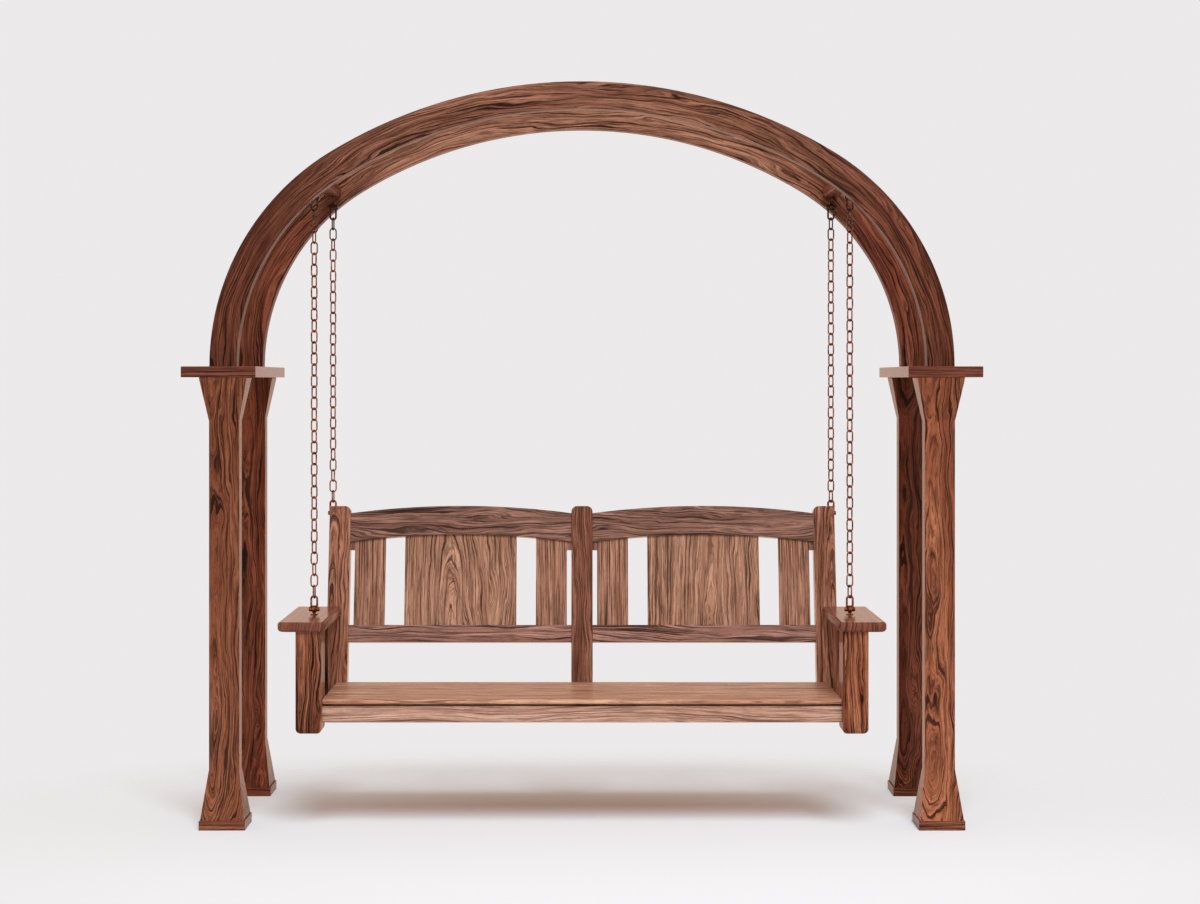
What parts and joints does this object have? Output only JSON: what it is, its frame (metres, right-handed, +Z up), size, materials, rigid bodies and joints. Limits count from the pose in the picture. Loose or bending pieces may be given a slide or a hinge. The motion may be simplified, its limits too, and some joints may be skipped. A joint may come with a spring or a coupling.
{
  "type": "garden swing",
  "caption": "Timber garden swing: a slatted bench with arms and a leaning back, hung by chains under paired arches on flared posts, swinging fore and aft",
  "frame": {"origin": "on the floor under the middle of the whole swing", "axes": "+X to the right seen from the front, +Y to the back, +Z up"},
  "size_m": [2.64, 0.792, 2.465],
  "materials": {
    "frame_timber": "satin oil",
    "bench_timber": "satin oil",
    "chain_bronze": "bright drawn",
    "dark_iron": "blackened"
  },
  "bodies": {
    "frame": {"front_left_post": "frame_timber", "front_right_post": "frame_timber", "rear_left_post": "frame_timber", "rear_right_post": "frame_timber", "left_cap_plate": "frame_timber", "right_cap_plate": "frame_timber", "front_arch_left": "frame_timber", "front_arch_crown": "frame_timber", "front_arch_right": "frame_timber", "rear_arch_left": "frame_timber", "rear_arch_crown": "frame_timber", "rear_arch_right": "frame_timber", "left_hanger_beam": "frame_timber", "right_hanger_beam": "frame_timber", "frame_dowels": "frame_timber", "hanger_eye_bolts": "dark_iron", "hanger_nuts": "dark_iron"},
    "rear_chains": {"rear_left_chain": "chain_bronze", "rear_right_chain": "chain_bronze", "rear_shackles": "dark_iron", "rear_shackle_pins": "dark_iron"},
    "front_chains": {"front_left_chain": "chain_bronze", "front_right_chain": "chain_bronze", "front_shackles": "dark_iron", "front_shackle_pins": "dark_iron"},
    "arm_shackles": {"arm_shackles": "chain_bronze", "arm_shackle_pins": "chain_bronze"},
    "bench": {"left_arm": "bench_timber", "right_arm": "bench_timber", "left_front_leg": "bench_timber", "right_front_leg": "bench_timber", "left_back_post": "bench_timber", "right_back_post": "bench_timber", "left_crest_rail": "bench_timber", "right_crest_rail": "bench_timber", "left_lower_rail": "bench_timber", "right_lower_rail": "bench_timber", "left_back_panel": "bench_timber", "right_back_panel": "bench_timber", "left_side_rail": "bench_timber", "right_side_rail": "bench_timber", "left_side_slat": "bench_timber", "right_side_slat": "bench_timber", "centre_back_post": "bench_timber", "narrow_back_slats": "bench_timber", "slat_spacer_blocks": "bench_timber", "seat_board_1": "bench_timber", "seat_board_2": "bench_timber", "seat_board_3": "bench_timber", "seat_board_4": "bench_timber", "seat_board_5": "bench_timber", "front_seat_rail": "bench_timber", "rear_seat_rail": "bench_timber", "seat_end_bearers": "bench_timber", "seat_centre_bearer": "bench_timber", "arm_eye_bolts": "chain_bronze", "arm_nuts": "dark_iron", "rear_brackets": "dark_iron", "back_screws": "dark_iron", "bracket_screws": "dark_iron"}
  },
  "joints": [
    {"name": "swing", "type": "hinge", "parent": "frame", "child": "rear_chains", "pos_m": [0, 0.249, 2.09146], "axis": [1, 0, 0], "range_deg": [-18, 18]},
    {"name": "bench_level", "type": "hinge", "parent": "rear_chains", "child": "bench", "pos_m": [0, 0.249, 1.00577], "axis": [1, 0, 0], "range_deg": [-18, 18]},
    {"name": "front_chain_swing", "type": "hinge", "parent": "frame", "child": "front_chains", "pos_m": [0, -0.156, 2.09146], "axis": [1, 0, 0], "range_deg": [-14.1, 14.1]},
    {"name": "arm_shackle_turn", "type": "hinge", "parent": "bench", "child": "arm_shackles", "pos_m": [0, -0.156, 0.708], "axis": [1, 0, 0], "range_deg": [-14.1, 14.1]}
  ],
  "couplings": [
    {"joint": "bench_level", "follows": "swing", "ratio": -1},
    {"joint": "front_chain_swing", "follows": "swing", "ratio": 0.782},
    {"joint": "arm_shackle_turn", "follows": "swing", "ratio": 0.782}
  ]
}
